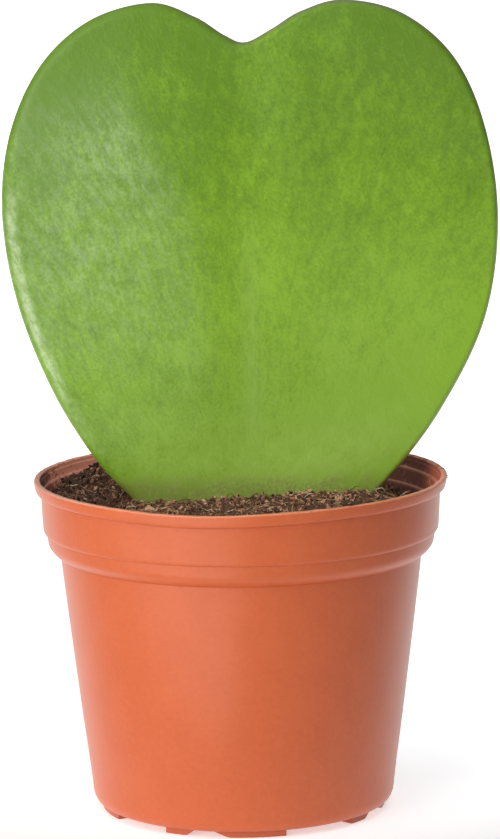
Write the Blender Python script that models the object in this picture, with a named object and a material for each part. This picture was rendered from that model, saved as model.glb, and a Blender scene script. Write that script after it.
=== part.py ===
"""A potted sweetheart hoya: one heart-shaped leaf standing in compost in a small pot.

Three closed bodies, in metres with +Z up and the leaf's face towards -Y:
pot (one moulding with its feet and drain holes), compost (the plug with its
crumbs, chips and coir fibres) and leaf (the blade with its buried stalk).
The origin is on the surface the pot stands on, under the middle of the whole
plant's box. The leaf is wider than the pot and stands a little to its right.
"""

import math
import random

import bmesh
import bpy
from mathutils import Matrix, Vector, noise
from mathutils.geometry import delaunay_2d_cdt

MM = 0.001
GAP = 0.3 * MM                 # clearance between neighbouring bodies
SEED = 20

# Pot
POT_X = -1.7 * MM              # the pot's axis, left of the leaf's middle
POT_HEIGHT = 48.0 * MM
RIM_RADIUS = 30.0 * MM
WALL = 0.9 * MM
POT_SEGMENTS = 60
BASE_Z = 0.95 * MM             # underside of the floor, above the feet
BASE_RADIUS = 22.1 * MM
CORNER_WIDTH = 1.2 * MM        # the base's rounded corner, across and up
CORNER_HEIGHT = 2.2 * MM
WALL_TOP_Z = 35.95 * MM        # top of the tapered body
WALL_TOP_RADIUS = 26.1 * MM
COLLAR_Z = 38.9 * MM           # the collar's lower band
COLLAR_RADIUS = 28.1 * MM
STEP_LOW_Z = 39.4 * MM         # the small step between the collar's two bands
STEP_HIGH_Z = 41.2 * MM
STEP_RADIUS = 28.7 * MM
NECK_Z = 45.0 * MM             # where the collar starts to flare into the bead
NECK_RADIUS = 28.95 * MM
BEAD_Z = 47.2 * MM
RIM_ROUND = 0.2 * MM

# Feet: pairs of low pads along the base's edge, with a shallow arch inside each pair.
# A station is an azimuth from the pair's centre (degrees) and a share of the full height.
FOOT_PAIR_CENTRES = (-7.75, 73.25, 173.75, 274.25)      # degrees from the front
FOOT_STATIONS = (
    ((-24.75, 1.0), (-16.5, 1.0), (-10.5, 0.0)),
    ((-6.5, 0.0), (3.0, 1.0), (13.9, 1.0), (24.75, 1.0)),
)
FOOT_OUTER_RADIUS = 20.7 * MM
FOOT_INNER_RADIUS = 18.2 * MM
FOOT_ROOT = 0.5 * MM           # how far a foot is sunk into the floor
ARCH_SINK = 0.1 * MM           # how far an arch's end lies inside the floor

# Drain holes
DRAIN_COUNT = 4
DRAIN_RADIUS = 2.5 * MM
DRAIN_CIRCLE = 11.0 * MM

# Leaf: outline in mm (across, up), clockwise from the notch
LEAF_OUTLINE = (
    (-0.4, 111.3), (3.3, 113.1), (7.7, 115.7), (13.9, 117.2), (22.4, 115.0),
    (29.7, 108.4), (34.1, 97.8), (35.7, 84.6), (33.7, 71.0), (27.6, 58.5),
    (20.3, 48.7), (10.8, 38.7), (4.8, 33.6), (2.1, 30.4), (1.9, 26.6),
    (0.0, 24.4), (-1.9, 26.6), (-2.1, 30.4), (-4.8, 33.4), (-10.2, 38.2),
    (-17.0, 45.1), (-22.7, 51.4), (-28.6, 61.1), (-33.4, 73.0), (-35.6, 86.0),
    (-34.4, 97.8), (-29.8, 107.9), (-22.6, 114.5), (-13.8, 117.0), (-7.5, 115.0),
    (-3.4, 112.4),
)
OUTLINE_STEPS = 4              # straight pieces between two outline points
LEAF_HALF_THICKNESS = 1.75 * MM
MARGIN_WIDTH = 1.9 * MM        # width of the rounded edge
MARGIN_RINGS = (0.1, 0.32, 0.62, 1.0)                   # shares of that width
LEAF_GRID = 4.6 * MM
LEAF_BOW = 2.0 * MM            # how far the sides curve back
LEAF_FORWARD = 1.4 * MM        # how far its middle stands before the pot's middle
LEAF_HALF_WIDTH = 35.6 * MM
RIB_GROOVE = 0.35 * MM         # depth of the fold along the midrib
RIB_WIDTH = 5.0 * MM

# Compost: level of its surface, with soft rises and hollows (across, back, height, radius)
SOIL_Z = 45.0 * MM
SOIL_SWELLS = (
    (8.0, -14.0, 1.5, 9.0), (-18.0, 10.0, 0.9, 10.0), (20.0, 14.0, -2.2, 11.0),
    (-8.0, -20.0, -0.8, 8.0),
)
SOIL_GRID = 2.1 * MM
SOIL_ROUGHNESS = 0.7 * MM
SOIL_GRAIN = 3.0 * MM
SOIL_WALL_TOP_Z = 41.0 * MM    # the plug's side is turned up to here

# Repeats fused to the compost
CRUMB_COUNT = 90
CRUMB_RADIUS = (0.6 * MM, 1.4 * MM)
CHIP_COUNT = 16
CHIP_RADIUS = (1.0 * MM, 1.7 * MM)
CHIP_THIN = 0.45
FIBRE_COUNT = 18
FIBRE_RADIUS = 0.3 * MM
FIBRE_SPAN = (4.0 * MM, 8.0 * MM)
FIBRE_RISE = (1.1 * MM, 2.3 * MM)
FIBRE_STEPS = 6
FIBRE_SIDES = 3
REPEAT_EDGE = 1.2 * MM         # how far repeats keep from the plug's side

POT_COLOUR = (0.65, 0.20, 0.10)
COMPOST_COLOUR = (0.045, 0.026, 0.016)
LEAF_COLOUR = (0.20, 0.36, 0.045)


# ---------------------------------------------------------------- scene and materials

def clear_scene():
    """Remove every object that is in the scene."""
    for item in list(bpy.data.objects):
        bpy.data.objects.remove(item, do_unlink=True)


def make_material(name, colour, roughness):
    """Make a plain Principled material."""
    material = bpy.data.materials.new(name)
    material.use_nodes = True
    shader = material.node_tree.nodes["Principled BSDF"]
    shader.inputs["Base Color"].default_value = (*colour, 1.0)
    shader.inputs["Roughness"].default_value = roughness
    shader.inputs["Metallic"].default_value = 0.0
    return material


def add_object(name, work, material=None, at=(0.0, 0.0, 0.0)):
    """Turn a bmesh into an object in the scene, its faces pointing out."""
    bmesh.ops.recalc_face_normals(work, faces=work.faces)
    mesh = bpy.data.meshes.new(name)
    work.to_mesh(mesh)
    work.free()
    made = bpy.data.objects.new(name, mesh)
    made.location = at
    bpy.context.collection.objects.link(made)
    if material:
        mesh.materials.append(material)
    return made


def apply_modifiers(target):
    """Replace an object's mesh by its evaluated one and clear its modifiers."""
    evaluated = target.evaluated_get(bpy.context.evaluated_depsgraph_get())
    mesh = bpy.data.meshes.new_from_object(evaluated)
    target.modifiers.clear()
    target.data = mesh


def combine(target, tools, operation, solver="EXACT"):
    """Join the tools to the target, or cut them from it, and remove the tools."""
    group = bpy.data.collections.new(target.name + "_tools")
    bpy.context.scene.collection.children.link(group)
    for tool in tools:
        group.objects.link(tool)
    boolean = target.modifiers.new(operation.title(), "BOOLEAN")
    boolean.operation = operation
    boolean.operand_type = "COLLECTION"
    boolean.collection = group
    boolean.solver = solver
    apply_modifiers(target)
    for tool in tools:
        bpy.data.objects.remove(tool, do_unlink=True)
    bpy.data.collections.remove(group)


def shade_smooth(target, angle):
    """Shade smooth, with edges sharper than the angle (degrees) kept sharp."""
    target.data.shade_smooth()
    target.data.set_sharp_from_angle(angle=math.radians(angle))


def keep_largest_body(target):
    """Drop the loose scraps that a cut leaves beside the main body."""
    work = bmesh.new()
    work.from_mesh(target.data)
    unseen = set(work.verts)
    bodies = []
    while unseen:
        front = [unseen.pop()]
        body = set(front)
        while front:
            vert = front.pop()
            near = {edge.other_vert(vert) for edge in vert.link_edges} & unseen
            unseen -= near
            body |= near
            front.extend(near)
        bodies.append(body)
    bodies.sort(key=len, reverse=True)
    scraps = [vert for body in bodies[1:] for vert in body]
    bmesh.ops.delete(work, geom=scraps, context="VERTS")
    work.to_mesh(target.data)
    work.free()


def bridge(work, lower, upper):
    """Faces between two rings of the same number of vertices."""
    for index in range(len(lower)):
        work.faces.new((lower[index - 1], lower[index], upper[index], upper[index - 1]))


# ---------------------------------------------------------------- outlines and profiles

def ease(start, end, steps):
    """Points of an S-shaped run between two (radius, height) points, without the first."""
    points = []
    for step in range(1, steps + 1):
        share = step / steps
        blend = share * share * (3.0 - 2.0 * share)
        points.append((start[0] + (end[0] - start[0]) * blend,
                       start[1] + (end[1] - start[1]) * share))
    return points


def arc(centre, width, height, first, last, steps):
    """Points on an elliptical arc in the profile plane, angles in degrees."""
    points = []
    for step in range(steps + 1):
        angle = math.radians(first + (last - first) * step / steps)
        points.append((centre[0] + width * math.cos(angle),
                       centre[1] + height * math.sin(angle)))
    return points


def pot_outside():
    """The pot's outer profile as (radius, height), from the floor's edge up to the bead."""
    corner_centre = (BASE_RADIUS - CORNER_WIDTH, BASE_Z + CORNER_HEIGHT)
    profile = arc(corner_centre, CORNER_WIDTH, CORNER_HEIGHT, -90.0, 0.0, 3)
    wall_top = (WALL_TOP_RADIUS, WALL_TOP_Z)
    profile.append(wall_top)
    profile += ease(wall_top, (COLLAR_RADIUS, COLLAR_Z), 4)
    step_foot = (COLLAR_RADIUS, STEP_LOW_Z)
    profile.append(step_foot)
    profile += ease(step_foot, (STEP_RADIUS, STEP_HIGH_Z), 2)
    neck = (NECK_RADIUS, NECK_Z)
    profile.append(neck)
    profile += ease(neck, (RIM_RADIUS, BEAD_Z), 4)
    return profile


def inset_profile(profile, distance):
    """The profile moved inwards, square to itself, by a distance."""
    moved = []
    last = len(profile) - 1
    for index, (radius, height) in enumerate(profile):
        before = Vector(profile[max(index - 1, 0)])
        after = Vector(profile[min(index + 1, last)])
        along = (after - before).normalized()
        moved.append((radius - along.y * distance, height + along.x * distance))
    return moved


def smooth_outline(points, steps):
    """A closed Catmull-Rom curve through the points."""
    curve = []
    count = len(points)
    for index in range(count):
        before, start, end, after = (Vector(points[(index + k) % count]) for k in (-1, 0, 1, 2))
        for step in range(steps):
            t = step / steps
            curve.append(0.5 * (2.0 * start + (end - before) * t
                                + (2.0 * before - 5.0 * start + 4.0 * end - after) * t * t
                                + (3.0 * start - before - 3.0 * end + after) * t ** 3))
    return curve


def distance_to_outline(point, outline):
    """Shortest distance from a point to a closed outline."""
    best = math.inf
    for index, start in enumerate(outline):
        side = outline[(index + 1) % len(outline)] - start
        share = max(0.0, min(1.0, (point - start).dot(side) / side.length_squared))
        best = min(best, (point - start - side * share).length)
    return best


def is_inside(point, outline):
    """Whether a point lies inside a closed outline."""
    inside = False
    for index, start in enumerate(outline):
        end = outline[(index + 1) % len(outline)]
        if (start.y > point.y) != (end.y > point.y):
            crossing = start.x + (point.y - start.y) * (end.x - start.x) / (end.y - start.y)
            if point.x < crossing:
                inside = not inside
    return inside


def grid_points(outline, spacing, clear):
    """Staggered grid points inside an outline, at least a clear distance from it."""
    low_x, high_x = min(p.x for p in outline), max(p.x for p in outline)
    low_y, high_y = min(p.y for p in outline), max(p.y for p in outline)
    row_height = spacing * math.sqrt(3.0) / 2.0
    found = []
    for row in range(int((high_y - low_y) / row_height) + 1):
        shift = spacing / 2.0 if row % 2 else 0.0
        for column in range(int((high_x - low_x) / spacing) + 1):
            point = Vector((low_x + shift + column * spacing, low_y + row * row_height))
            if is_inside(point, outline) and distance_to_outline(point, outline) > clear:
                found.append(point)
    return found


def inner_ring(outline, distance):
    """The outline moved inwards, without the points that come too near another side."""
    ring = []
    count = len(outline)
    for index, point in enumerate(outline):
        along = (outline[(index + 1) % count] - outline[index - 1]).normalized()
        moved = point + Vector((along.y, -along.x)) * distance
        if distance_to_outline(moved, outline) > 0.93 * distance:
            ring.append(moved)
    return ring


def triangulate(outline, inner):
    """Fill an outline with triangles through the inner points."""
    points, _, faces, *_ = delaunay_2d_cdt(
        outline + inner, [], [list(range(len(outline)))], 1, 1e-7)
    return points, faces


# ---------------------------------------------------------------- pot

def pot_profile():
    """The pot's whole section, from the floor's underside round the rim to its top."""
    outside = pot_outside()
    bead_top = POT_HEIGHT - RIM_ROUND
    rim = arc((RIM_RADIUS - RIM_ROUND, bead_top), RIM_ROUND, RIM_ROUND, 0.0, 90.0, 2)
    rim += arc((RIM_RADIUS - WALL + RIM_ROUND, bead_top), RIM_ROUND, RIM_ROUND, 90.0, 180.0, 2)
    inside = inset_profile(outside, WALL)
    floor_top = BASE_Z + WALL
    inside[0] = (inside[0][0], floor_top)
    return [(0.0, BASE_Z)] + outside + rim + inside[::-1] + [(0.0, floor_top)]


def turned_shell(profile, segments):
    """Turn a profile (radius, height) about +Z."""
    work = bmesh.new()
    verts = [work.verts.new((radius, 0.0, height)) for radius, height in profile]
    edges = [work.edges.new(pair) for pair in zip(verts, verts[1:])]
    bmesh.ops.spin(work, geom=verts + edges, axis=(0.0, 0.0, 1.0), cent=(0.0, 0.0, 0.0),
                   steps=segments, angle=2.0 * math.pi, use_duplicate=False)
    bmesh.ops.remove_doubles(work, verts=work.verts, dist=0.01 * MM)
    return work


def make_foot(centre, stations):
    """One foot of the pair round an azimuth: a curved bar sunk into the floor."""
    work = bmesh.new()
    rows = []
    top = BASE_Z + FOOT_ROOT
    for azimuth, share in stations:
        turn = math.radians(centre + azimuth)
        across, back = math.sin(turn), -math.cos(turn)
        bottom = (1.0 - share) * (BASE_Z + ARCH_SINK)
        corners = ((FOOT_INNER_RADIUS, bottom), (FOOT_OUTER_RADIUS, bottom),
                   (FOOT_OUTER_RADIUS, top), (FOOT_INNER_RADIUS, top))
        rows.append([work.verts.new((across * radius, back * radius, height))
                     for radius, height in corners])
    for start, end in zip(rows, rows[1:]):
        bridge(work, start, end)
    work.faces.new(rows[0][::-1])
    work.faces.new(rows[-1])
    return add_object("foot", work, at=(POT_X, 0.0, 0.0))


def make_feet():
    """The two feet of every pair."""
    return [make_foot(centre, stations)
            for centre in FOOT_PAIR_CENTRES for stations in FOOT_STATIONS]


def make_drain_cutters():
    """Plain cylinders through the floor, evenly spaced round its middle."""
    cutters = []
    for index in range(DRAIN_COUNT):
        turn = 2.0 * math.pi * (index + 0.5) / DRAIN_COUNT
        work = bmesh.new()
        bmesh.ops.create_cone(work, cap_ends=True, segments=16, radius1=DRAIN_RADIUS,
                              radius2=DRAIN_RADIUS, depth=4.0 * WALL)
        place = (POT_X + DRAIN_CIRCLE * math.cos(turn), DRAIN_CIRCLE * math.sin(turn),
                 BASE_Z + 0.5 * WALL)
        cutters.append(add_object("drain", work, at=place))
    return cutters


def make_pot():
    """The moulded pot: turned shell, feet fused on and drain holes cut out."""
    material = make_material("pot_plastic", POT_COLOUR, 0.45)
    pot = add_object("pot", turned_shell(pot_profile(), POT_SEGMENTS), material,
                     at=(POT_X, 0.0, 0.0))
    combine(pot, make_feet(), "UNION")
    combine(pot, make_drain_cutters(), "DIFFERENCE")
    shade_smooth(pot, 35.0)
    return pot


# ---------------------------------------------------------------- leaf

def leaf_middle(across):
    """How far back the leaf's middle plane lies: sides bowed back, midrib folded in."""
    bow = LEAF_BOW * (across / LEAF_HALF_WIDTH) ** 2
    fold = RIB_GROOVE * math.exp(-(across / RIB_WIDTH) ** 2)
    return bow + fold - LEAF_FORWARD


def leaf_half_thickness(edge_distance):
    """Half the leaf's thickness at a distance in from its rounded edge."""
    share = min(edge_distance / MARGIN_WIDTH, 1.0)
    return LEAF_HALF_THICKNESS * math.sqrt(1.0 - (1.0 - share) ** 2)


def outward(outline, distance):
    """For each outline point, the shift that moves it outwards by a distance."""
    count = len(outline)
    shifts = []
    for index in range(count):
        along = (outline[(index + 1) % count] - outline[index - 1]).normalized()
        shifts.append(Vector((-along.y, along.x)) * distance)
    return shifts


def leaf_body(growth=0.0):
    """The leaf as a closed bmesh, grown all round by a distance."""
    plain = [point * MM for point in smooth_outline(LEAF_OUTLINE, OUTLINE_STEPS)]
    outline = [point + shift for point, shift in zip(plain, outward(plain, growth))]
    inner = []
    for share in MARGIN_RINGS:
        inner += inner_ring(outline, share * MARGIN_WIDTH)
    inner += grid_points(outline, LEAF_GRID, MARGIN_WIDTH + 0.4 * LEAF_GRID)
    points, faces = triangulate(outline, inner)
    return two_faced_solid(points, faces, outline, 1.0 + growth / LEAF_HALF_THICKNESS)


def two_faced_solid(points, faces, outline, fullness):
    """A front and a back sheet with the same triangles, joined at the edge."""
    work = bmesh.new()
    front, back = [], []
    for point in points:
        depth = distance_to_outline(point, outline)
        middle = leaf_middle(point.x)
        if depth < 0.001 * MM:
            shared = work.verts.new((point.x, middle, point.y))
            front.append(shared)
            back.append(shared)
            continue
        half = leaf_half_thickness(depth) * fullness
        front.append(work.verts.new((point.x, middle - half, point.y)))
        back.append(work.verts.new((point.x, middle + half, point.y)))
    for face in faces:
        work.faces.new([front[index] for index in face])
        work.faces.new([back[index] for index in reversed(face)])
    return work


def make_leaf():
    """The leaf with its stalk, one grown piece."""
    material = make_material("leaf_green", LEAF_COLOUR, 0.42)
    leaf = add_object("leaf", leaf_body(), material)
    shade_smooth(leaf, 60.0)
    return leaf


# ---------------------------------------------------------------- compost

def soil_level(across, back):
    """Smooth height of the compost's surface about the pot's axis."""
    level = SOIL_Z
    for swell_x, swell_y, rise, radius in SOIL_SWELLS:
        distance = math.hypot(across - swell_x * MM, back - swell_y * MM)
        level += rise * MM * math.exp(-(distance / (radius * MM)) ** 2)
    return level


def soil_height(across, back):
    """Height of the rough surface of the compost."""
    place = Vector((across, back, 0.0)) / SOIL_GRAIN
    return soil_level(across, back) + SOIL_ROUGHNESS * noise.noise(place)


def plug_profile():
    """The plug's side as (radius, height), a gap inside the pot, from the floor up."""
    profile = inset_profile(pot_outside(), WALL + GAP)
    profile[0] = (profile[0][0], BASE_Z + WALL + GAP)
    below = [point for point in profile[::2] if point[1] < SOIL_WALL_TOP_Z]
    return below + [(STEP_RADIUS - WALL - GAP, SOIL_WALL_TOP_Z)]


def ring_of(work, radius, height):
    """A ring of vertices on the pot's facets; the height may be a function."""
    ring = []
    for index in range(POT_SEGMENTS):
        turn = 2.0 * math.pi * index / POT_SEGMENTS
        across, back = radius * math.cos(turn), radius * math.sin(turn)
        up = height(across, back) if callable(height) else height
        ring.append(work.verts.new((across, back, up)))
    return ring


def add_soil_surface(work, ring):
    """Close the plug's top with an even, rough sheet inside its top ring."""
    outline = [Vector((vert.co.x, vert.co.y)) for vert in ring]
    inner = grid_points(outline, SOIL_GRID, 0.6 * SOIL_GRID)
    points, faces = triangulate(outline, inner)
    corners = ring + [work.verts.new((point.x, point.y, soil_height(point.x, point.y)))
                      for point in points[len(ring):]]
    for face in faces:
        work.faces.new([corners[index] for index in face])


def plug_body():
    """The compost plug as a closed bmesh."""
    work = bmesh.new()
    profile = plug_profile()
    rings = [ring_of(work, radius, height) for radius, height in profile]
    rings.append(ring_of(work, NECK_RADIUS - WALL - GAP, soil_height))
    for lower, upper in zip(rings, rings[1:]):
        bridge(work, lower, upper)
    work.faces.new(rings[0][::-1])
    add_soil_surface(work, rings[-1])
    return work


def random_place(draw, reach):
    """A random place on the compost within a radius, even over its area."""
    radius = reach * math.sqrt(draw.random())
    turn = draw.uniform(0.0, 2.0 * math.pi)
    return radius * math.cos(turn), radius * math.sin(turn)


def make_lump(draw, size, thin):
    """A crumb or a chip: a small uneven ball, flattened by a share, half sunk."""
    reach = NECK_RADIUS - WALL - GAP - REPEAT_EDGE - size
    across, back = random_place(draw, reach)
    work = bmesh.new()
    bmesh.ops.create_icosphere(work, subdivisions=1, radius=size)
    for vert in work.verts:
        vert.co *= draw.uniform(0.75, 1.15)
    tilt = Matrix.Rotation(draw.uniform(-0.6, 0.6), 4, "X")
    turn = Matrix.Rotation(draw.uniform(0.0, 2.0 * math.pi), 4, "Z")
    bmesh.ops.transform(work, matrix=turn @ tilt @ Matrix.Diagonal((1.0, 0.8, thin, 1.0)),
                        verts=work.verts)
    lift = 0.15 * size * thin
    place = (POT_X + across, back, soil_height(across, back) + lift)
    return add_object("lump", work, at=place)


def fibre_path(draw):
    """Points of a bent fibre that leaves the compost and goes back in."""
    span = draw.uniform(*FIBRE_SPAN)
    rise = draw.uniform(*FIBRE_RISE)
    bend = draw.uniform(-0.35, 0.35) * span
    reach = NECK_RADIUS - WALL - GAP - REPEAT_EDGE - 0.5 * span
    across, back = random_place(draw, reach)
    heading = draw.uniform(0.0, 2.0 * math.pi)
    along = Vector((math.cos(heading), math.sin(heading), 0.0))
    aside = Vector((-along.y, along.x, 0.0))
    points = []
    for step in range(FIBRE_STEPS + 1):
        share = step / FIBRE_STEPS
        hump = math.sin(math.pi * share)
        point = Vector((across, back, 0.0)) + along * span * (share - 0.5) + aside * bend * hump
        ground = soil_height(point.x, point.y)
        point.z = ground - 3.0 * FIBRE_RADIUS + (rise + 2.0 * FIBRE_RADIUS) * hump
        points.append(point)
    return points


def tube_body(path, radius, sides):
    """A thin tube along a path, closed at both ends."""
    work = bmesh.new()
    rows = []
    last = len(path) - 1
    for index, point in enumerate(path):
        along = (path[min(index + 1, last)] - path[max(index - 1, 0)]).normalized()
        aside = along.cross(Vector((0.0, 0.0, 1.0))).normalized()
        above = aside.cross(along)
        row = []
        for side in range(sides):
            turn = 2.0 * math.pi * side / sides
            shift = aside * math.cos(turn) + above * math.sin(turn)
            row.append(work.verts.new(point + shift * radius))
        rows.append(row)
    for lower, upper in zip(rows, rows[1:]):
        bridge(work, lower, upper)
    work.faces.new(rows[0][::-1])
    work.faces.new(rows[-1])
    return work


def make_repeats():
    """Crumbs, chips and fibres, placed by one seeded draw."""
    draw = random.Random(SEED)
    repeats = [make_lump(draw, draw.uniform(*CRUMB_RADIUS), 1.0) for _ in range(CRUMB_COUNT)]
    repeats += [make_lump(draw, draw.uniform(*CHIP_RADIUS), CHIP_THIN)
                for _ in range(CHIP_COUNT)]
    for _ in range(FIBRE_COUNT):
        work = tube_body(fibre_path(draw), FIBRE_RADIUS, FIBRE_SIDES)
        repeats.append(add_object("fibre", work, at=(POT_X, 0.0, 0.0)))
    return repeats


def make_compost():
    """The compost plug with its repeats fused on and the leaf's slot cut in."""
    material = make_material("compost_brown", COMPOST_COLOUR, 0.95)
    compost = add_object("compost", plug_body(), material, at=(POT_X, 0.0, 0.0))
    combine(compost, make_repeats(), "UNION", "MANIFOLD")
    combine(compost, [add_object("slot", leaf_body(GAP))], "DIFFERENCE", "MANIFOLD")
    keep_largest_body(compost)
    return compost


def main():
    """Build the three bodies."""
    clear_scene()
    make_pot()
    make_leaf()
    make_compost()


main()
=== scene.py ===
"""A potted sweetheart hoya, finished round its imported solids.

One thick heart-shaped leaf stands in loose compost in a small moulded pot.
All sizes are in metres, +Z is up, and the leaf's face looks towards -Y. The
finishes, profiles and placed bits give their lengths in millimetres.
"""

import logging
import math
import random
from contextlib import contextmanager
from dataclasses import dataclass
from enum import Enum
from typing import Any, Iterator, Sequence

import bpy
import numpy as np
from mathutils import Euler, Matrix, Vector, noise


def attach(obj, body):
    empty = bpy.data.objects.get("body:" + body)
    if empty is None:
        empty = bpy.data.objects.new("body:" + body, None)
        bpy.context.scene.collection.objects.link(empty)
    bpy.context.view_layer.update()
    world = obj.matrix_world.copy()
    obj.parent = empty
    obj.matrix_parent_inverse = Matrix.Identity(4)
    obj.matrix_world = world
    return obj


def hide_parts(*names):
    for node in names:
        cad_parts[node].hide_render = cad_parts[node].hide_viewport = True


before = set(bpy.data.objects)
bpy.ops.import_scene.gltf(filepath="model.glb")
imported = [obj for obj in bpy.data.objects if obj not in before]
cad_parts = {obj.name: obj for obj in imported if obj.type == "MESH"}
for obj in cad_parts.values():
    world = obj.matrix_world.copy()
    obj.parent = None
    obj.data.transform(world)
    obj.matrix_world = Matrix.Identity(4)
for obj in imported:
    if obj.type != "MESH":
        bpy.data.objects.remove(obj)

MM = 0.001
BODY = "root"
POT_CENTRE = -1.7 * MM
Colour = tuple[float, float, float]
Profile = list[tuple[float, float]]
BLACK: Colour = (0.0, 0.0, 0.0)
WHITE: Colour = (1.0, 1.0, 1.0)

logging.basicConfig(level=logging.INFO, format="%(message)s")
log = logging.getLogger("hoya")


class Slot(Enum):
    """The record's material slots."""

    PLASTIC = "pot_plastic"
    COMPOST = "compost_brown"
    LEAF = "leaf_green"


class Carve(Enum):
    """What a boolean does with its tool."""

    JOIN = "UNION"
    CUT = "DIFFERENCE"


# ---------------------------------------------------------------- shader graphs

class Link:
    """A shader socket; arithmetic on a number socket adds the Math nodes for it."""

    def __init__(self, graph: "Graph", socket: bpy.types.NodeSocket) -> None:
        """Wrap one socket of a graph."""
        self.graph = graph
        self.socket = socket

    def __add__(self, other: "Link | float") -> "Link":
        """Sum."""
        return self.graph.maths("ADD", self, other)

    __radd__ = __add__

    def __sub__(self, other: "Link | float") -> "Link":
        """Difference."""
        return self.graph.maths("SUBTRACT", self, other)

    def __rsub__(self, other: float) -> "Link":
        """Difference from a plain number."""
        return self.graph.maths("SUBTRACT", other, self)

    def __mul__(self, other: "Link | float") -> "Link":
        """Product."""
        return self.graph.maths("MULTIPLY", self, other)

    __rmul__ = __mul__

    def __truediv__(self, other: "Link | float") -> "Link":
        """Quotient."""
        return self.graph.maths("DIVIDE", self, other)

    def __rtruediv__(self, other: float) -> "Link":
        """Quotient of a plain number."""
        return self.graph.maths("DIVIDE", other, self)

    def step(self, low: float, high: float) -> "Link":
        """A smooth step from 0 at low to 1 at high (high may be the smaller)."""
        return self.graph.node(
            "ShaderNodeMapRange", {"interpolation_type": "SMOOTHSTEP"},
            {"Value": self, "From Min": low, "From Max": high})


class Graph:
    """The node tree of one finish."""

    def __init__(self, name: str) -> None:
        """Start a material with its Principled shader.

        Args:
            name: the material's name.
        """
        self.material = bpy.data.materials.new(name)
        self.material.use_nodes = True
        self.tree = self.material.node_tree
        self.shader = self.tree.nodes["Principled BSDF"]

    def node(self, kind: str, settings: dict[str, Any] | None = None,
             inputs: dict[int | str, Any] | None = None, out: int | str = 0) -> Link:
        """Add a node.

        Args:
            kind: the node's type.
            settings: properties set first; "stops" gives a colour ramp's stops.
            inputs: values or links by socket name or number.
            out: the output to return, by name or number.

        Returns:
            The chosen output.
        """
        made = self.tree.nodes.new(kind)
        for key, value in (settings or {}).items():
            if key == "stops":
                self._set_stops(made.color_ramp, value)
            else:
                setattr(made, key, value)
        for key, value in (inputs or {}).items():
            self.feed(made.inputs[key], value)
        return Link(self, made.outputs[out])

    @staticmethod
    def _set_stops(ramp: bpy.types.ColorRamp, stops: Sequence[tuple[float, Colour]]) -> None:
        """Set a colour ramp's stops.

        Args:
            ramp: the ramp of a new node, with its two first stops.
            stops: (position, colour) pairs.
        """
        while len(ramp.elements) < len(stops):
            ramp.elements.new(1.0)
        for element, (place, colour) in zip(ramp.elements, stops):
            element.position = place
            element.color = (*colour, 1.0)

    def feed(self, socket: bpy.types.NodeSocket, value: Any) -> None:
        """Link a socket or set it.

        Args:
            socket: the input socket.
            value: a link, a number, a vector, or a colour, which gets its alpha.
        """
        if isinstance(value, Link):
            self.tree.links.new(value.socket, socket)
        elif socket.type == "RGBA" and len(value) == 3:
            socket.default_value = (*value, 1.0)
        else:
            socket.default_value = value

    def maths(self, operation: str, first: Link | float, second: Link | float = 0.0) -> Link:
        """A Math node on two numbers or links."""
        return self.node("ShaderNodeMath", {"operation": operation}, {0: first, 1: second})

    def length(self, first: Link, second: Link) -> Link:
        """The length of a vector in a plane, from its two parts."""
        return self.maths("SQRT", first * first + second * second)

    def bell(self, distance: Link, width: float) -> Link:
        """A soft mask: 1 where a distance is 0, fading over a width."""
        return self.maths("EXPONENT", distance * distance * (-1.0 / width ** 2))

    def mix(self, share: Link | float, first: Link | Colour, second: Link | Colour) -> Link:
        """Mix two colours by a share."""
        return self.node("ShaderNodeMix", {"data_type": "RGBA"},
                         {0: share, 6: first, 7: second}, out=2)

    def place(self) -> Link:
        """The point on the piece, in millimetres."""
        point = self.node("ShaderNodeTexCoord", out="Object")
        return self.node("ShaderNodeVectorMath", {"operation": "SCALE"},
                         {0: point, "Scale": 1.0 / MM})

    def split(self, vector: Link) -> tuple[Link, Link, Link]:
        """The three parts of a vector."""
        made = self.node("ShaderNodeSeparateXYZ", None, {0: vector}).socket.node
        return tuple(Link(self, made.outputs[part]) for part in range(3))

    def join(self, first: Link, second: Link, third: float = 0.0) -> Link:
        """A vector from its three parts."""
        return self.node("ShaderNodeCombineXYZ", None, {0: first, 1: second, 2: third})

    def grain(self, where: Link, size: float, detail: float = 2.0, rough: float = 0.5) -> Link:
        """Noise from 0 to 1 whose features have a size in millimetres."""
        return self.node("ShaderNodeTexNoise", None,
                         {"Vector": where, "Scale": 1.0 / size, "Detail": detail,
                          "Roughness": rough})

    def attribute(self, name: str) -> Link:
        """A number stored on the mesh."""
        return self.node("ShaderNodeAttribute", {"attribute_name": name}, out="Fac")

    def bump(self, height: Link, depth: float, under: Link | None = None) -> Link:
        """A bump in the surface.

        Args:
            height: the height, from 0 to 1.
            depth: the millimetres that a height of 1 stands for.
            under: the coarser bump that it lies on.

        Returns:
            The normal.
        """
        inputs = {"Height": height, "Distance": depth * MM, "Strength": 1.0}
        if under:
            inputs["Normal"] = under
        return self.node("ShaderNodeBump", None, inputs)

    def finish(self, **sockets: Any) -> bpy.types.Material:
        """Feed the shader.

        Args:
            **sockets: values or links by the socket's name, with _ for a space.

        Returns:
            The finished material.
        """
        for key, value in sockets.items():
            self.feed(self.shader.inputs[key.replace("_", " ")], value)
        return self.material


# ---------------------------------------------------------------- modelling steps

def deselect() -> None:
    """Leave edit mode and select nothing."""
    if bpy.context.object and bpy.context.object.mode != "OBJECT":
        bpy.ops.object.mode_set(mode="OBJECT")
    bpy.ops.object.select_all(action="DESELECT")


def take(piece: bpy.types.Object) -> None:
    """Make a piece the only selected and active one.

    Args:
        piece: the piece to work on.
    """
    deselect()
    piece.select_set(True)
    bpy.context.view_layer.objects.active = piece


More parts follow.
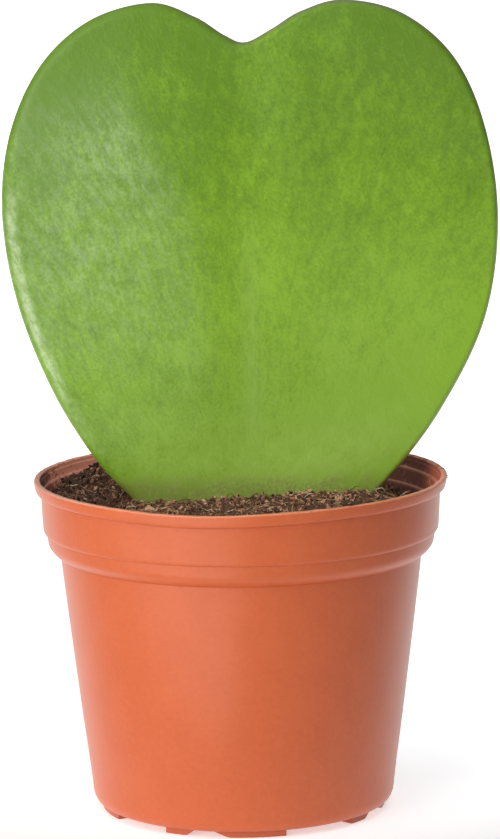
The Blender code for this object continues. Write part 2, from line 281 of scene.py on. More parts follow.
@contextmanager
def editing(piece: bpy.types.Object) -> Iterator[None]:
    """Work on a piece in edit mode, with all of it selected at first.

    Args:
        piece: the piece to work on.

    Yields:
        Nothing, once the piece is in edit mode.
    """
    take(piece)
    bpy.ops.object.mode_set(mode="EDIT")
    bpy.ops.mesh.select_all(action="SELECT")
    yield
    bpy.ops.object.mode_set(mode="OBJECT")


def new_piece(name: str) -> bpy.types.Object:
    """Name the primitive that was just added.

    Args:
        name: the piece's and its mesh's name.

    Returns:
        The piece.
    """
    piece = bpy.context.object
    piece.name = name
    piece.data.name = name
    return piece


def seat(piece: bpy.types.Object) -> bpy.types.Object:
    """Put a piece's place in its mesh, with its object at the origin.

    Args:
        piece: the piece, placed and turned by its object.

    Returns:
        The same piece.
    """
    take(piece)
    bpy.ops.object.transform_apply(location=True, rotation=True, scale=True)
    return piece


def point_out(piece: bpy.types.Object) -> None:
    """Merge doubled points and turn every face outwards.

    Args:
        piece: a closed piece.
    """
    with editing(piece):
        bpy.ops.mesh.remove_doubles(threshold=0.002 * MM)
        bpy.ops.mesh.normals_make_consistent(inside=False)


def smooth(piece: bpy.types.Object, angle: float | None = None) -> None:
    """Shade smooth.

    Args:
        piece: the piece to shade.
        angle: degrees past which an edge stays sharp; with none, no edge does.
    """
    take(piece)
    if angle is None:
        bpy.ops.object.shade_smooth()
    else:
        bpy.ops.object.shade_smooth_by_angle(angle=math.radians(angle))


def boolean(piece: bpy.types.Object, tool: bpy.types.Object, carve: Carve) -> None:
    """Join a tool to a piece, or cut it away, and remove the tool.

    Args:
        piece: the piece that stays.
        tool: the closed tool.
        carve: whether the tool is joined or cut away.
    """
    take(piece)
    modifier = piece.modifiers.new("Carve", "BOOLEAN")
    modifier.operation = carve.value
    modifier.solver = "EXACT"
    modifier.object = tool
    bpy.ops.object.modifier_apply(modifier=modifier.name)
    bpy.data.objects.remove(tool, do_unlink=True)


def turned(name: str, profile: Profile, steps: int, centre: float,
           angle: float = 360.0) -> bpy.types.Object:
    """Draw a profile by extruding one point, then spin it about an upright axis.

    Args:
        name: the piece's name.
        profile: (radius, height) points.
        steps: number of steps of the turn.
        centre: the axis' place along X.
        angle: degrees of the turn.

    Returns:
        The turned piece, its doubles merged and its faces outwards.
    """
    deselect()
    radius, height = profile[0]
    bpy.ops.mesh.primitive_plane_add(size=MM, location=(centre + radius, 0.0, height))
    piece = seat(new_piece(name))
    with editing(piece):
        bpy.ops.mesh.merge(type="CENTER")
        for before, after in zip(profile, profile[1:]):
            shift = (after[0] - before[0], 0.0, after[1] - before[1])
            bpy.ops.mesh.extrude_vertices_move(TRANSFORM_OT_translate={"value": shift})
        bpy.ops.mesh.select_all(action="SELECT")
        bpy.ops.mesh.spin(steps=steps, angle=math.radians(angle), dupli=False,
                          center=(centre, 0.0, 0.0), axis=(0.0, 0.0, 1.0))
    point_out(piece)
    return piece


def read_points(piece: bpy.types.Object) -> np.ndarray:
    """Read a mesh's points.

    Args:
        piece: a mesh object.

    Returns:
        The points as an array of rows.
    """
    flat = np.empty(3 * len(piece.data.vertices))
    piece.data.vertices.foreach_get("co", flat)
    return flat.reshape(-1, 3)


def write_points(piece: bpy.types.Object, points: np.ndarray) -> None:
    """Move a mesh's points."""
    piece.data.vertices.foreach_set("co", points.ravel())
    piece.data.update()


def store(piece: bpy.types.Object, name: str, values: np.ndarray) -> None:
    """Keep one number for each point of a mesh, for its finish to read."""
    layer = piece.data.attributes.new(name, "FLOAT", "POINT")
    layer.data.foreach_set("value", np.asarray(values, np.float32))


def ripple(points: np.ndarray, size: float, offset: float = 0.0) -> np.ndarray:
    """Smooth noise from -1 to 1 at each point, with features of a size in metres."""
    shift = Vector((offset, -offset, 0.5 * offset))
    return np.array([noise.noise(Vector(point) / size + shift) for point in points])


def ramp(values: Any, start: float, width: float) -> Any:
    """Rise from 0 to 1 over a width past a start, or before it for a negative width."""
    return np.clip((values - start) / width, 0.0, 1.0)


def ease(share: Any) -> Any:
    """Smooth the ends of a share's run from 0 to 1."""
    return share * (share * (3.0 - 2.0 * share))


def arc(centre: tuple[float, float], width: float, height: float,
        first: float, last: float, steps: int) -> Profile:
    """Draw an elliptical arc in the profile plane.

    Args:
        centre: the ellipse's (radius, height) centre.
        width: its half width.
        height: its half height.
        first: the first point's angle in degrees.
        last: the last point's angle in degrees.
        steps: number of steps along the arc.

    Returns:
        The (radius, height) points.
    """
    turns = np.radians(np.linspace(first, last, steps + 1))
    return [(centre[0] + width * math.cos(turn), centre[1] + height * math.sin(turn))
            for turn in turns]


def hand_over(piece: bpy.types.Object, finish: bpy.types.Material, slot: Slot,
              *nodes: str) -> bpy.types.Object:
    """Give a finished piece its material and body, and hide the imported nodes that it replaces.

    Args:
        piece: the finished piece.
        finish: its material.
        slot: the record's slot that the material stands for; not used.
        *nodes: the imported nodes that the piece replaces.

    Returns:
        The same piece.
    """
    piece.data.materials.clear()
    piece.data.materials.append(finish)
    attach(piece, BODY)
    if nodes:
        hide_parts(*nodes)
    return piece


# ---------------------------------------------------------------- finishes

@dataclass(frozen=True)
class PotPlastic:
    """Satin terracotta-coloured moulded plastic, faintly mottled, dusty inside; darkened inside
    and at its foot as painted shade, with painted light and a painted glow on the inner wall.
    """

    colour: Colour = (0.620, 0.116, 0.026)
    deep: Colour = (0.585, 0.104, 0.020)
    # Dark dirt colour; inside the pot and at its foot it is painted shade.
    grime_and_painted_shade: Colour = (0.140, 0.044, 0.032)
    # Pale dust; on the inner wall's back left it is also painted light, and on the steps painted
    # highlight lines.
    dust: Colour = (0.800, 0.360, 0.300)
    worn: Colour = (0.800, 0.280, 0.150)
    chalk: Colour = (0.780, 0.420, 0.310)
    # Painted glow on the inner wall, as of light shining through the thin plastic.
    painted_glow: Colour = (0.150, 0.048, 0.034)
    roughness: float = 0.34
    gloss: float = 0.60
    pebble_depth: float = 0.014

    def scuffs(self, graph: Graph, where: Link, smudge: Link) -> Link:
        """Colour the rim: rubbed pale, chalky at its ends, grimy behind, and chipped.

        Args:
            graph: the finish's node tree.
            where: the point on the pot.
            smudge: the noise of the dirt.

        Returns:
            The rim's colour.
        """
        across, back, _ = graph.split(where)
        ends = across.step(-15.0, -27.0) + across.step(18.0, 26.0) * 0.8
        behind = smudge.step(0.48, 0.62) * back.step(-4.0, 8.0)
        chips = graph.grain(where, 0.5, 3.0, 0.7)
        colour = graph.mix(behind, graph.mix(ends, self.worn, self.chalk), self.grime_and_painted_shade)
        colour = graph.mix(chips.step(0.52, 0.66) * 0.8, colour, self.chalk)
        return graph.mix(chips.step(0.40, 0.30) * 0.6, colour, self.grime_and_painted_shade)

    def make(self) -> bpy.types.Material:
        """Build the finish.

        Returns:
            The material.
        """
        graph = Graph("pot_plastic_finish")
        where = graph.place()
        across, back, up = graph.split(where)
        cloud = graph.grain(where, 5.0, 3.0)
        mottle = graph.grain(where, 0.7, 3.0, 0.65)
        smudge = graph.grain(where, 1.1, 4.0, 0.65)
        pebble = graph.grain(where, 0.8, 2.0, 0.5)
        inside, ledge, rim = (graph.attribute(name) for name in ("inside", "ledge", "rim"))
        painted_light_back_left = across.step(4.0, -16.0) * back.step(0.0, 16.0)
        painted_light_right_end = across.step(24.0, 27.0) * back.step(12.0, 5.0)
        colour = graph.mix((cloud * 0.4 + mottle * 0.6).step(0.36, 0.64), self.deep, self.colour)
        # Inside: the dark dirt colour is partly painted shade, and the pale dust is partly
        # painted light on the back left wall.
        dusty = (smudge + painted_light_back_left * 0.34 - 0.14).step(0.42, 0.62)
        inner = graph.mix(dusty, self.grime_and_painted_shade, self.dust)
        # Painted light: the inner wall's right end, where light falls, keeps the plastic's own
        # colour.
        colour = graph.mix(inside * (1.0 - painted_light_right_end * 0.8), colour, inner)
        # Pale lines on the inner steps: dust, and painted highlight lines.
        colour = graph.mix(ledge * (0.2 + smudge * 0.5), colour, self.dust)
        scuffed = self.scuffs(graph, where, smudge)
        colour = graph.mix(rim * (0.5 + smudge * 0.5), colour, scuffed)
        # Painted shade: darker towards the bottom, under the pot.
        colour = graph.mix(up.step(1.9, 0.5) * 0.22, colour, self.grime_and_painted_shade)
        # Painted light: the inner wall glows at the back left, at the right end and faintly at
        # the back.
        through = painted_light_back_left * (0.35 + smudge) + painted_light_right_end * 0.7 + back.step(0.0, 15.0) * 0.12
        roughness = self.roughness + (mottle - 0.5) * 0.1 + inside * 0.3 + rim * 0.2
        return graph.finish(Base_Color=colour, Roughness=roughness,
                            Specular_IOR_Level=self.gloss,
                            Emission_Color=graph.mix(inside * through, BLACK, self.painted_glow),
                            Emission_Strength=1.0,
                            Normal=graph.bump(pebble + cloud * 0.8, self.pebble_depth))


class LeafPoint:
    """What the leaf's finish reads at a point: its place in millimetres, and its noises."""

    def __init__(self, graph: Graph, foot: float) -> None:
        """Read the place and make the noises.

        Args:
            graph: the finish's node tree.
            foot: the height of the place that the flecks fan out from.
        """
        self.graph = graph
        self.where = graph.place()
        self.across, _, self.up = graph.split(self.where)
        rise = self.up - foot
        self.turn = graph.maths("ARCTAN2", self.across, rise)
        self.reach = graph.length(self.across, rise)
        self.edge = graph.attribute("margin")
        self.front = graph.attribute("front")
        self.patch = graph.grain(self.where, 2.2, 4.0, 0.65)
        self.fine = graph.grain(self.where, 0.45, 2.0, 0.65)
        self.streak = graph.grain(self.fan(60.0, 0.34), 1.0, 3.0, 0.6)
        brushed = graph.join(self.across * 0.87 + self.up * 0.5,
                             (self.across * 0.5 - self.up * 0.87) * 0.3)
        self.sweep = graph.grain(brushed, 0.9, 4.0, 0.65)

    def fan(self, spread: float, draw: float, layer: float = 0.0) -> Link:
        """The place about the foot: its turn and its reach, each scaled, and a layer."""
        return self.graph.join(self.turn * spread, self.reach * draw, layer)

    def spot(self, across: float, up: float, radius: float) -> Link:
        """A soft round mask about a place."""
        bell = self.graph.bell
        return bell(self.across - across, radius) * bell(self.up - up, radius)


@dataclass(frozen=True)
class LeafSkin:
    """Thick waxy leaf: mottled green, fine flecks that fan out from its foot; a highlight
    painted along its left rim, and painted light low down and at its rim.
    """

    dark: Colour = (0.108, 0.228, 0.003)
    mid: Colour = (0.160, 0.312, 0.004)
    pale: Colour = (0.222, 0.412, 0.010)
    rib: Colour = (0.260, 0.430, 0.050)
    # Brownish edge colour, also a painted rim light at the top and right.
    margin: Colour = (0.220, 0.180, 0.130)
    bloom_and_painted_light: Colour = (0.345, 0.570, 0.075)
    # Pale colour of a highlight painted along the left rim.
    painted_highlight: Colour = (0.420, 0.560, 0.230)
    dust: Colour = (0.230, 0.165, 0.075)
    foot: float = 20.0
    roughness: float = 0.40
    coat_roughness: float = 0.28
    coat_index: float = 1.7
    gloss: float = 0.44
    fleck_depth: float = 0.07
    patch_depth: float = 0.13

    def mottling(self, at: LeafPoint) -> Link:
        """Mottle the green with clouds, patches and flecks, paler low down and to the right,
        which is partly painted light on the shaded foot and lower right edge.

        Args:
            at: the point on the leaf.

        Returns:
            The colour.
        """
        across, up = at.across, at.up
        cloud = at.graph.grain(at.where, 9.0, 3.0, 0.55)
        combed = (at.streak - 0.5) * up.step(48.0, 72.0) + 0.5
        # Paler low down: partly the leaf's own colour, partly painted light where the pot and
        # compost shade it.
        low = (84.0 - up) / 60.0 * (0.20 + across.step(-14.0, 18.0) * 0.26)
        right_half = across.step(-22.0, 26.0)
        left_edge = across.step(-17.0, -29.0)
        right_lobe = across.step(2.0, 13.0) * across.step(30.0, 20.0) * up.step(90.0, 103.0)
        by_notch = across.step(4.0, -8.0) * up.step(84.0, 102.0)
        # Painted light: the lower right edge, which turns away from the light, is made paler.
        painted_light_lower_edge = at.edge.step(2.4, 0.6) * across.step(6.0, 16.0) * up.step(82.0, 64.0)
        side = (right_half * 0.06 - left_edge * 0.05 + right_lobe * 0.05 - by_notch * 0.05
                + painted_light_lower_edge * 0.16)
        veil = at.graph.bell(across - 2.5, 4.47) * up.step(66.0, 84.0) * 0.06
        tone = (cloud * 0.30 + at.patch * 0.22 + combed * 0.34 + at.fine * 0.36 - 0.12
                + low + side + veil)
        greens = ((0.36, self.dark), (0.51, self.mid), (0.66, self.pale))
        return at.graph.node("ShaderNodeValToRGB", {"stops": greens}, {0: tone})

    def markings(self, at: LeafPoint, colour: Link) -> Link:
        """Lay the midrib, the drying margin with a painted rim light at the top and right, a
        pale waxy film that is partly painted light, and the dust above the compost on the green.

        Args:
            at: the point on the leaf.
            colour: the green.

        Returns:
            The marked colour.
        """
        graph, across, up = at.graph, at.across, at.up
        midrib = graph.bell(across, 1.414) * up.step(44.0, 52.0) * up.step(92.0, 74.0)
        colour = graph.mix(midrib * at.streak * 0.9, colour, self.rib)
        upper_right = across.step(-30.0, 10.0) * up.step(62.0, 96.0)
        lower_right = across.step(8.0, 18.0) * up.step(66.0, 58.0)
        # A drying brownish edge, partly painted rim light at the top and right.
        dry_edge_and_rim_light = at.edge.step(0.42, 0.12) * (0.1 + upper_right * 0.4 + lower_right * 0.4)
        colour = graph.mix(dry_edge_and_rim_light, colour, self.margin)
        right_half = across.step(-22.0, 26.0)
        # A pale waxy film low down and on the right, partly painted light where the leaf lies in
        # shade.
        haze_and_painted_light = up.step(63.0, 47.0) * (at.patch * 1.1 + at.fine * 0.6 - 0.2 + right_half * 0.4)
        haze_and_painted_light = haze_and_painted_light + across.step(0.0, 16.0) * up.step(92.0, 68.0) * at.patch * 0.3
        colour = graph.mix(haze_and_painted_light * (0.4 + at.edge.step(0.5, 7.0) * 0.6), colour, self.bloom_and_painted_light)
        dusty = (up - at.patch * 4.0).step(48.0, 44.6) * (0.2 + at.fine.step(0.35, 0.62) * 0.4)
        return graph.mix(dusty, colour, self.dust)

    def wax_and_painted_highlight(self, at: LeafPoint) -> tuple[Link, Link]:
        """Give the left lobe a waxy coat up to its slanting fold, and the rounded rim beside it,
        where a highlight is also painted.

        Args:
            at: the point on the leaf.

        Returns:
            The coat's weight, and the share of the highlight painted along the rim.
        """
        across, up = at.across, at.up
        fold = across + 7.0 + up.step(84.0, 108.0) * 11.0 - up.step(84.0, 56.0) * 2.5
        fold = fold + (at.patch - 0.5) * 7.0
        lobe = 0.40 + fold.step(-18.0, -5.0) * 0.10
        lobe = lobe + at.spot(-17.0, 95.0, 9.0) * 0.48 + at.spot(-25.0, 81.0, 9.0) * 0.7
        lobe = lobe * fold.step(1.5, -3.0) * up.step(110.0, 99.0)
        lobe = lobe * (0.25 + up.step(54.0, 72.0) * 0.75) * (0.3 + at.front * 0.7)
        # The rounded left rim: glossy, and with a painted highlight.
        lip = at.edge.step(2.7, 1.5) * at.edge.step(0.4, 1.1) * at.front
        lip = lip * up.step(92.0, 84.0) * up.step(50.0, 74.0) * across.step(0.0, -15.0)
        groove = fold.step(-1.0, 2.0) * fold.step(18.0, 9.0) * up.step(60.0, 75.0)
        glint = (at.sweep * 1.1 + at.patch * 0.4 + at.fine * 0.3).step(0.74, 1.10)
        coat = lobe * (0.06 + glint * 0.94) + lip * (0.5 + glint * 0.5) + 0.14 - groove * 0.14
        return coat, lip * (0.2 + glint * 0.6)

    def make(self) -> bpy.types.Material:
        """Build the finish.

        Returns:
            The material.
        """
        graph = Graph("leaf_green_finish")
        at = LeafPoint(graph, self.foot)
        coat, painted_rim_highlight = self.wax_and_painted_highlight(at)
        # Painted highlight along the left rim.
        colour = graph.mix(painted_rim_highlight, self.markings(at, self.mottling(at)), self.painted_highlight)
        flecks = graph.grain(at.fan(80.0, 0.8, 3.0), 1.0, 3.0, 0.6)
        patches = graph.bump(at.patch + at.sweep * 0.6, self.patch_depth)
        relief = graph.bump(flecks * 0.6 + at.fine * 0.4, self.fleck_depth, under=patches)
        matt_rim = at.edge.step(1.8, 0.6) * at.up.step(84.0, 94.0) * 0.3
        roughness = self.roughness + (at.fine - 0.5) * 0.16 + (at.patch - 0.5) * 0.12 + matt_rim
        return graph.finish(Base_Color=colour, Roughness=roughness, Normal=relief,
                            Specular_IOR_Level=self.gloss, Coat_Weight=coat,
                            Coat_Roughness=self.coat_roughness, Coat_IOR=self.coat_index)


@dataclass(frozen=True)
class Litter:
    """Compost and its bits: each bit's own tone runs along a range of colours."""

    name: str
    stops: tuple[tuple[float, Colour], ...]
    grain: float = 0.35
    depth: float = 0.08
    roughness: float = 0.9
    patchiness: float = 0.55

    def make(self) -> bpy.types.Material:
        """Build the finish.

        Returns:
            The material.
        """
        graph = Graph(self.name + "_finish")
        patch = graph.grain(graph.place(), self.grain, 3.0, 0.65)
        tone = graph.attribute("tone") + (patch - 0.5) * self.patchiness
        colour = graph.node("ShaderNodeValToRGB", {"stops": self.stops}, {0: tone})
        return graph.finish(Base_Color=colour, Roughness=self.roughness + (patch - 0.5) * 0.1,
                            Normal=graph.bump(patch, self.depth))


SOIL = Litter("compost_soil", ((0.12, (0.016, 0.009, 0.006)), (0.38, (0.080, 0.034, 0.019)),
                               (0.62, (0.240, 0.100, 0.050)), (0.88, (0.440, 0.220, 0.125))))
CRUMB = Litter("compost_crumb", ((0.10, (0.018, 0.010, 0.007)), (0.34, (0.125, 0.052, 0.029)),
                                 (0.58, (0.440, 0.190, 0.094)), (0.88, (0.620, 0.370, 0.220))))
FIBRE = Litter("coir_fibre", ((0.1, (0.08, 0.040, 0.022)), (0.45, (0.30, 0.145, 0.072)),
                              (0.75, (0.54, 0.320, 0.165)), (0.95, (0.80, 0.600, 0.400))),
               grain=0.5, depth=0.02, roughness=0.7)


@dataclass(frozen=True)
class PaleFloor:
    """The plain pale floor, which glows softly so that the plant throws no shadow on it."""

    pale: Colour = (0.86, 0.86, 0.86)
    paler: Colour = (0.88, 0.88, 0.88)
    cool: Colour = (0.96, 1.04, 1.06)
    near_glow: float = 0.60
    far_glow: float = 0.55
    outer_glow: float = 0.9
    roughness: float = 0.9

    def make(self) -> bpy.types.Material:
        """Build the finish: a glow round the plant that widens behind it, and one far off.

        Returns:
            The material.
        """
        graph = Graph("pale_floor")
        where = graph.place()
        across, back, _ = graph.split(where)
        behind = graph.maths("MAXIMUM", back, 0.0)
        ahead = graph.maths("MINIMUM", back - 45.0, 0.0)
        near = graph.length(across / (behind * 0.014 + 1.0), ahead).step(105.0, 45.0)
        far = back.step(150.0, 800.0)
        outer = graph.length(across, back).step(900.0, 2400.0)
        glow = graph.maths("MAXIMUM", near * self.near_glow + far * self.far_glow,
                           outer * self.outer_glow)
        tint = graph.mix(across.step(-5.0, 22.0) * back.step(120.0, 60.0), WHITE, self.cool)
        colour = graph.mix(graph.grain(where, 400.0), self.pale, self.paler)
        return graph.finish(Base_Color=colour, Roughness=self.roughness,
                            Emission_Color=graph.mix(glow, BLACK, tint),
                            Emission_Strength=1.0)


# ---------------------------------------------------------------- pot

@dataclass
class Pot:
    """The moulded pot: bead, stepped collar, tapered wall, floor, feet and drain holes.

    The two sides of its section are (radius, height) points in millimetres, and the
    ledges are the (low, high) levels of the inner wall's steps. The skin is the depth at
    which the inside starts, and its fade. The dip in the rim is (depth, azimuth, width),
    and its lean (rise, swing from left to right). The wall wavers, and the rim is nicked
    and rubbed, from a height on, in full after a rise. Nicks are (size, layer of noise,
    height). Each foot's stations are (azimuth, share of the full height).
    """

    centre: float = POT_CENTRE
    height: float = 48.5 * MM
    wall: float = 0.9 * MM
    rim_round: float = 0.2 * MM
    base_z: float = 0.9 * MM
    base_radius: float = 22.07 * MM
    corner: tuple[float, float] = (1.2 * MM, 2.2 * MM)
    outer_side: tuple[tuple[float, float], ...] = (
        (22.46, 6.4), (22.94, 10.0), (23.42, 13.6), (24.08, 19.0), (24.74, 24.4),
        (25.45, 30.4), (26.0, 35.1), (26.2, 37.42), (26.5, 37.5), (26.9, 37.8),
        (27.3, 38.15), (27.6, 38.48), (27.85, 38.85), (28.0, 39.25), (28.07, 39.7),
        (28.15, 40.3), (28.2, 40.72), (28.36, 40.8), (28.52, 40.94), (28.64, 41.15),
        (28.7, 41.45), (28.82, 43.5), (28.95, 46.6), (29.2, 46.66), (29.45, 46.75),
        (29.6, 46.88), (29.7, 47.06), (29.8, 47.4), (29.88, 47.85), (29.92, 48.2))
    inner_side: tuple[tuple[float, float], ...] = (
        (29.08, 48.0), (29.05, 47.92), (28.9, 47.8), (28.84, 47.4), (28.8, 46.85),
        (28.74, 46.78), (28.5, 46.62), (28.4, 46.3), (28.2, 44.6), (28.15, 44.5),
        (27.98, 44.36), (27.92, 44.0), (27.8, 42.2), (27.46, 41.35), (27.4, 41.2),
        (27.34, 41.0), (27.1, 40.2), (27.0, 39.0), (25.4, 37.1), (25.28, 36.5),
        (23.9, 24.4), (22.1, 10.0), (21.2, 3.2), (21.0, 2.4), (20.5, 1.95), (19.8, 1.8))
    ledges: tuple[tuple[float, float], ...] = ((41.1, 41.4), (44.34, 44.52), (46.6, 46.8))
    skin: tuple[float, float] = (0.35 * MM, 0.2 * MM)
    segments: int = 288
    sharp: float = 38.0
    dip: tuple[float, float, float] = (0.42 * MM, -12.0, 24.0)
    lean: tuple[float, float] = (0.08 * MM, 0.12 * MM)
    wavers: tuple[float, float] = (41.0 * MM, 5.0 * MM)
    nicked: tuple[float, float] = (47.6 * MM, 0.4 * MM)
    nicks: tuple[tuple[float, float, float], ...] = (
        (1.3 * MM, 0.0, 0.07 * MM), (0.5 * MM, 5.0, 0.03 * MM))
    rubbed: tuple[float, float] = (48.28 * MM, 0.1 * MM)
    foot_pairs: tuple[float, ...] = (-7.75, 73.25, 173.75, 274.25)
    foot_stations: tuple[tuple[tuple[float, float], ...], ...] = (
        ((-24.75, 1.0), (-16.5, 1.0), (-10.5, 0.0)),
        ((-6.5, 0.0), (3.0, 1.0), (13.9, 1.0), (24.75, 1.0)))
    foot_radii: tuple[float, float] = (18.2 * MM, 20.7 * MM)
    foot_root: float = 0.5 * MM
    foot_tip: float = 0.1 * MM
    foot_steps: int = 36
    drains: int = 4
    drain_steps: int = 40
    drain_radius: float = 2.5 * MM
    drain_circle: float = 11.0 * MM

    def outside(self) -> Profile:
        """Draw the outer side, from the floor's edge up to the bead's widest line.

        Returns:
            The profile.
        """
        width, height = self.corner
        profile = arc((self.base_radius - width, self.base_z + height), width, height,
                      -90.0, 0.0, 8)
        return profile + [(radius * MM, level * MM) for radius, level in self.outer_side]

    def section(self) -> Profile:
        """Draw the whole section, from the floor's underside round the rim to its top.

        Returns:
            The profile.
        """
        outside = self.outside()
        inside = [(radius * MM, level * MM) for radius, level in self.inner_side]
        rim_z = self.height - self.rim_round
        rim = arc((outside[-1][0] - self.rim_round, rim_z), self.rim_round, self.rim_round,
                  0.0, 90.0, 5)
        rim += arc((inside[0][0] + self.rim_round, rim_z), self.rim_round, self.rim_round,
                   90.0, 180.0, 5)
        return [(0.0, self.base_z)] + outside + rim + inside + [(0.0, inside[-1][1])]

    def foot(self, centre: float, stations: Sequence[tuple[float, float]]) -> bpy.types.Object:
        """One foot of a pair: a curved bar whose arched end rises to the floor.

        Args:
            centre: the pair's azimuth from the front, in degrees.
            stations: (azimuth from that centre, share of the full height) pairs.

        Returns:
            The closed bar, sunk into the floor.
        """
        inner, outer = self.foot_radii
        top = self.base_z + self.foot_root
        first, last = stations[0][0], stations[-1][0]
        section = [(inner, 0.0), (outer, 0.0), (outer, top), (inner, top), (inner, 0.0)]
        bar = turned("foot", section, self.foot_steps, self.centre, last - first)
        points = read_points(bar)
        spread = points - (self.centre, 0.0, 0.0)
        azimuth = first + np.abs(np.degrees(np.arctan2(spread[:, 1], spread[:, 0])))
        share = ease(np.interp(azimuth, *zip(*stations)))
        low = points[:, 2] < 0.5 * top
        points[low, 2] = ((1.0 - share) * (self.base_z + self.foot_tip))[low]
        radius = np.hypot(spread[:, 0], spread[:, 1])
        real = np.radians(centre + azimuth)
        points[:, 0] = self.centre + np.sin(real) * radius
        points[:, 1] = -np.cos(real) * radius
        write_points(bar, points)
        with editing(bar):
            bpy.ops.mesh.select_all(action="DESELECT")
            bpy.ops.mesh.select_non_manifold()
            bpy.ops.mesh.edge_face_add()
        point_out(bar)
        return bar

    def drain(self, index: int) -> bpy.types.Object:
        """A round cutter for one drain hole.

        Args:
            index: the hole's number.

        Returns:
            The cutter, right through the floor.
        """
        turn = 2.0 * math.pi * (index + 0.5) / self.drains
        place = (self.centre + self.drain_circle * math.cos(turn),
                 self.drain_circle * math.sin(turn), self.base_z + 0.5 * self.wall)
        deselect()
        bpy.ops.mesh.primitive_cylinder_add(vertices=self.drain_steps, radius=self.drain_radius,
                                            depth=4.0 * self.wall, location=place)
        return seat(new_piece("drain"))

    def inside_share(self, points: np.ndarray) -> np.ndarray:
        """Tell the inner wall and floor from the outside.

        Args:
            points: the pot's points.

        Returns:
            1 inside, 0 outside, and in between on the rim.
        """
        radii, levels = zip(*self.outside())
        outer = np.interp(points[:, 2], levels, radii)
        depth = outer - np.hypot(points[:, 0] - self.centre, points[:, 1])
        return ramp(depth, *self.skin) * (points[:, 2] > self.base_z + 0.5 * self.wall)

    def ledge_share(self, points: np.ndarray) -> np.ndarray:
        """Find the inner wall's narrow steps, where dust and painted highlight lines lie.

        Args:
            points: the pot's points.

        Returns:
            1 on a step, 0 off it.
        """
        level = points[:, 2] / MM
        on_step = [(level > low) & (level < high) for low, high in self.ledges]
        return np.any(on_step, axis=0) * self.inside_share(points)

    def weather(self, pot: bpy.types.Object) -> None:
        """Let the thin wall waver a little, as a moulded pot's does, and nick its rim.

        Args:
            pot: the turned pot.
        """
        points = read_points(pot)
        turn = np.degrees(np.arctan2(points[:, 0] - self.centre, -points[:, 1]))
        depth, middle, width = self.dip
        rise = self.lean[0] + self.lean[1] * np.sin(np.radians(turn))
        rise -= depth * np.exp(-((turn - middle) / width) ** 2)
        points[:, 2] += rise * ramp(points[:, 2], *self.wavers)
        near_rim = ramp(points[:, 2], *self.nicked)
        points[:, 2] += near_rim * sum(ripple(points, size, offset) * height
                                       for size, offset, height in self.nicks)
        write_points(pot, points)

    def build(self) -> bpy.types.Object:
        """Turn the shell, add the feet, cut the drains and dress it.

        Returns:
            The finished pot.
        """
        pot = turned("pot_shell", self.section(), self.segments, self.centre)
        for pair in self.foot_pairs:
            for stations in self.foot_stations:
                boolean(pot, self.foot(pair, stations), Carve.JOIN)
        for index in range(self.drains):
            boolean(pot, self.drain(index), Carve.CUT)
        point_out(pot)
        points = read_points(pot)
        store(pot, "inside", self.inside_share(points))
        store(pot, "ledge", self.ledge_share(points))
        store(pot, "rim", ramp(points[:, 2], *self.rubbed))
        self.weather(pot)
        smooth(pot, self.sharp)
        return hand_over(pot, PotPlastic().make(), Slot.PLASTIC, "pot")


# ---------------------------------------------------------------- leaf

